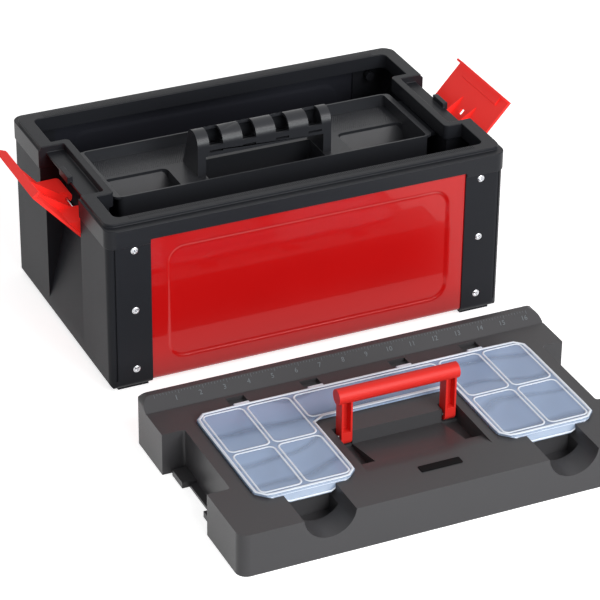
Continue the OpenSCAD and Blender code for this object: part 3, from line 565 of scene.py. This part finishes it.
def ruler_marks():
    """Numbers and ticks, lying on the ridge's slope and standing a little proud of it."""
    foot_y, foot_z = -0.0800, 0.0455
    run, rise = 0.0130, 0.0105
    slope = math.hypot(run, rise)
    up = Vector((0, run / slope, rise / slope))
    out = Vector((0, -rise / slope, run / slope))
    side = Vector((1, 0, 0))
    inch, inches = 0.0254, 16
    proud, draft, tick_half, tick_margin = 0.00022, 0.00004, 0.00018, 0.0007
    inch_tick, half_tick, eighth_tick = 0.0036, 0.0026, 0.0016
    digit_size, digit_foot, digit_shift, middle_digit = 0.0072, 0.0062, 0.004, 7
    work = bmesh.new()

    def tick(x, low, high):
        corners = []
        for lift, pull in ((0.0, 0.0), (proud, draft)):
            near, far = low + pull, high - pull
            half = tick_half - pull
            for u, v in ((-half, near), (half, near), (half, far), (-half, far)):
                place = Vector((lid_x + x, foot_y, foot_z)) + side * u + up * v + out * lift
                corners.append(work.verts.new(place))
        for k in range(4):
            m = (k + 1) % 4
            work.faces.new((corners[k], corners[m], corners[4 + m], corners[4 + k]))
        work.faces.new(corners[4:])

    for n in range(-4 * inches, 4 * inches + 1):
        length = inch_tick if n % 8 == 0 else half_tick if n % 4 == 0 else eighth_tick
        tick(n * inch / 8, slope - tick_margin - length, slope - tick_margin)
    lay = Matrix((side, up, out)).transposed()
    for n in range(inches):
        words = bpy.data.curves.new("inch_number", "FONT")
        words.body = str(n + 1)
        words.size = digit_size
        words.align_x = "CENTER"
        words.extrude = proud
        words.resolution_u = 3
        digit = bpy.data.objects.new("inch_number", words)
        bpy.context.scene.collection.objects.link(digit)
        bpy.context.view_layer.update()
        shape = digit.evaluated_get(bpy.context.evaluated_depsgraph_get()).to_mesh()
        base = len(work.verts)
        work.from_mesh(shape)
        work.verts.ensure_lookup_table()
        where = Vector((lid_x + (n - middle_digit) * inch - digit_shift, foot_y, foot_z)) + up * digit_foot
        for vertex in work.verts[base:]:
            vertex.co = where + lay @ vertex.co
        bpy.data.objects.remove(digit)
        bpy.data.curves.remove(words)
    mesh = bpy.data.meshes.new("ruler_marks")
    work.to_mesh(mesh)
    work.free()
    return mesh


# The numbers and ticks are a lighter grey than the lid they are moulded with: a painted highlight for the
# glints on their raised edges.
ruler_highlight_plastic = moulded_plastic("ruler_highlight_plastic", srgb(112, 117, 121), 0.36)
new_piece("ruler_marks", ruler_marks(), "lid", ruler_highlight_plastic)


# ---- Badge plate ----
# A small blank plate of black plastic lies on the lid in front of the handle recess. It is moulded
# by itself and stuck down.

badge_plastic = moulded_plastic("badge_plastic", srgb(8, 8, 10), 0.3, grain_depth=0.000004, sheen=0.04)
rounded_moulding("badge_plate", "lid", badge_plastic, 0.0003)


# ---- Lid handle ----
# The carrying handle is a red moulding with a round grip and two channelled legs. It turns on two
# steel pins in the lid, so that it folds down into its recess.

handle_plastic = moulded_plastic("handle_plastic", srgb(218, 44, 38), 0.40, grain_depth=0.00003)
rounded_moulding("lid_handle", "lid_handle", handle_plastic, 0.0007)


# ---- Organiser ----
# A U-shaped box of small bins is let into the lid, under a hinged cover with white beads. Both are
# moulded in milky polypropylene, and the cover turns on pins through four tabs at its back.

def milky_polypropylene(name, color, alpha, roughness, streak=1.0):
    """Clear moulding with a milky tint; streak below 1 gives it the darker flow lines of the melt."""
    finish = bpy.data.materials.new(name)
    finish.use_nodes = True
    nodes, links = finish.node_tree.nodes, finish.node_tree.links
    shader = nodes["Principled BSDF"]
    shader.inputs["Alpha"].default_value = alpha
    skin = nodes.new("ShaderNodeGroup")
    skin.node_tree = moulded_skin
    skin.inputs["Color"].default_value = color
    skin.inputs["Grain Scale"].default_value = 60.0
    skin.inputs["Roughness"].default_value = roughness
    skin.inputs["Gloss Drift"].default_value = 0.10
    skin.inputs["Tone Drift"].default_value = 0.12
    wave = nodes.new("ShaderNodeBump")
    wave.inputs["Strength"].default_value = 1.0
    wave.inputs["Distance"].default_value = 0.0002
    where = nodes.new("ShaderNodeTexCoord")
    flow = nodes.new("ShaderNodeTexWave")
    flow.bands_direction = "Y"
    flow.inputs["Scale"].default_value = 7.0
    flow.inputs["Distortion"].default_value = 7.0
    flow.inputs["Detail"].default_value = 1.5
    flow.inputs["Detail Scale"].default_value = 1.2
    links.new(where.outputs["Object"], flow.inputs["Vector"])
    thin = nodes.new("ShaderNodeMapRange")
    thin.inputs["From Min"].default_value = 0.80
    thin.inputs["From Max"].default_value = 1.0
    thin.inputs["To Min"].default_value = 1.0
    thin.inputs["To Max"].default_value = streak
    links.new(flow.outputs["Fac"], thin.inputs["Value"])
    shade = nodes.new("ShaderNodeHueSaturation")
    links.new(skin.outputs["Color"], shade.inputs["Color"])
    links.new(thin.outputs["Result"], shade.inputs["Value"])
    links.new(shade.outputs["Color"], shader.inputs["Base Color"])
    links.new(skin.outputs["Roughness"], shader.inputs["Roughness"])
    links.new(skin.outputs["Height"], wave.inputs["Height"])
    links.new(wave.outputs["Normal"], shader.inputs["Normal"])
    return finish


bin_plastic = milky_polypropylene("bin_plastic", srgb(182, 206, 236), 0.94, 0.3)
cover_plastic = milky_polypropylene("cover_plastic", srgb(192, 212, 242), 0.42, 0.12, streak=0.74)
bead_plastic = milky_polypropylene("bead_plastic", srgb(240, 246, 255), 0.9, 0.2)
rounded_moulding("organiser_bin", "lid", bin_plastic, 0.0004, most_sides=20)
rounded_moulding("organiser_hinge_pins", "lid", zinc_plate, 0.0)
rounded_moulding("organiser_cover", "organiser_cover", cover_plastic, 0.0006)


def bead_ring(work, outline, width, proud, lay):
    """A low rounded bead that follows a closed outline.
    The function lay gives the place of a point of the drawing at a height above the surface."""
    count = len(outline)
    section = ((-0.5, 0.0), (-0.34, 0.75), (0.0, 1.0), (0.34, 0.75), (0.5, 0.0))
    rows = []
    for i in range(count):
        before, here, after = Vector(outline[i - 1]), Vector(outline[i]), Vector(outline[(i + 1) % count])
        along = (after - here).normalized() + (here - before).normalized()
        along.normalize()
        left = Vector((-along.y, along.x))
        row = []
        for u, v in section:
            spot = (here.x + left.x * width * u, here.y + left.y * width * u)
            row.append(work.verts.new(lay(*spot, proud * v)))
        rows.append(row)
    for i in range(count):
        a, b = rows[i], rows[(i + 1) % count]
        for k in range(len(section) - 1):
            face = work.faces.new((a[k], b[k], b[k + 1], a[k + 1]))
            face.smooth = True


def round_outline(x0, x1, y0, y1, r):
    """Closed outline of a rectangle with round corners."""
    steps = 6
    outline = []
    centres = ((x1 - r, y1 - r), (x0 + r, y1 - r), (x0 + r, y0 + r), (x1 - r, y0 + r))
    for quarter, (cx, cy) in enumerate(centres):
        for k in range(steps + 1):
            a = math.radians(90 * quarter + 90 / steps * k)
            outline.append((cx + r * math.cos(a), cy + r * math.sin(a)))
    return outline


cover_top = 0.0486
cover_half, wing_inner = 0.178, 0.0755
cover_front, cover_back, strip_front = -0.0805, 0.0742, 0.0232
wing_mid_x = 0.12675


def on_cover(x, y, height):
    """Place of a point on the cover's flat top, measured from the middle of the lid."""
    return (lid_x + x, lid_y + y, cover_top + height)


def window_beads(work):
    """A bead round the window over each bin: four in each wing and a long one in the strip."""
    bead_width, bead_rise = 0.0021, 0.0005
    edge, gap, corner = 0.0060, 0.0021, 0.0058
    mid_x, mid_y = 0.12775, -0.00315
    strip_margin, strip_overlap = 0.0030, 0.0008
    strip_half = wing_inner + gap - strip_overlap
    windows = [(-strip_half, strip_half, strip_front + strip_margin, cover_back - edge)]
    for side in (-1, 1):
        for x0, x1 in ((wing_inner + edge * 0.95, mid_x - gap), (mid_x + gap, cover_half - edge)):
            for y0, y1 in ((cover_front + edge, mid_y - gap), (mid_y + gap, cover_back - edge)):
                windows.append((min(side * x0, side * x1), max(side * x0, side * x1), y0, y1))
    for window in windows:
        bead_ring(work, round_outline(*window, corner), bead_width, bead_rise, on_cover)


def edge_bead(work):
    """A heavier bead along the U of the cover's edge, with its corners cut off."""
    bead_width, bead_rise = 0.0030, 0.0007
    inset, k, side_share = 0.0013, 0.009, 0.08
    h, w, b = cover_half - inset, wing_inner + inset, cover_back - inset
    f, s = cover_front + inset, strip_front + inset
    corners = [(-h + k, b), (h - k, b), (h, b - k), (h, f + k), (h - k, f), (w + k, f), (w, f + k), (w, s),
               (-w, s), (-w, f + k), (-w - k, f), (-h + k, f), (-h, f + k), (-h, b - k)]
    outline = []
    for n, (x, y) in enumerate(corners):
        nx, ny = corners[(n + 1) % len(corners)]
        for t in (side_share, 1 - side_share):
            outline.append((x + (nx - x) * t, y + (ny - y) * t))
    bead_ring(work, outline[::-1], bead_width, bead_rise, on_cover)


def flap_beads(work):
    """A fine bead round the sloping finger flap at the front of each wing."""
    bead_width, bead_rise = 0.0016, 0.0004
    flap_top, flap_fall, flap_lean = 0.0476, 0.0090, 0.0045
    slope = math.hypot(flap_fall, flap_lean)
    outline = [(-0.0385, 0.0016), (0.0385, 0.0016), (0.0212, 0.0088), (-0.0212, 0.0088)]
    for side in (-1, 1):
        def on_flap(x, along, height):
            """Place of a point on the slope of this flap."""
            y = lid_y + cover_front - flap_lean * along / slope - height * flap_fall / slope
            z = flap_top - flap_fall * along / slope + height * flap_lean / slope
            return (lid_x + side * wing_mid_x + x, y, z)

        bead_ring(work, outline, bead_width, bead_rise, on_flap)


def tab_plates(work):
    """The raised plate of each hinge tab at the back of the cover."""
    half, lap, reach, rise, lean = 0.0080, 0.0008, 0.0029, 0.0006, 0.0004
    inner_tab = 0.048
    for x in (-wing_mid_x, -inner_tab, inner_tab, wing_mid_x):
        x0, x1 = x - half, x + half
        y0, y1 = cover_back - lap, cover_back + reach
        low, high = [], []
        for ring, pull, height in ((low, 0.0, 0.0), (high, lean, rise)):
            for u, v in ((x0 + pull, y0 + pull), (x1 - pull, y0 + pull),
                         (x1 - pull, y1 - pull), (x0 + pull, y1 - pull)):
                ring.append(work.verts.new(on_cover(u, v, height)))
        for n in range(4):
            m = (n + 1) % 4
            work.faces.new((low[n], low[m], high[m], high[n]))
        work.faces.new(high)


def cover_beads():
    """All that stands proud of the cover, in one mesh."""
    work = bmesh.new()
    window_beads(work)
    edge_bead(work)
    flap_beads(work)
    tab_plates(work)
    bmesh.ops.recalc_face_normals(work, faces=work.faces)
    mesh = bpy.data.meshes.new("cover_beads")
    work.to_mesh(mesh)
    work.free()
    return mesh


new_piece("cover_beads", cover_beads(), "organiser_cover", bead_plastic)
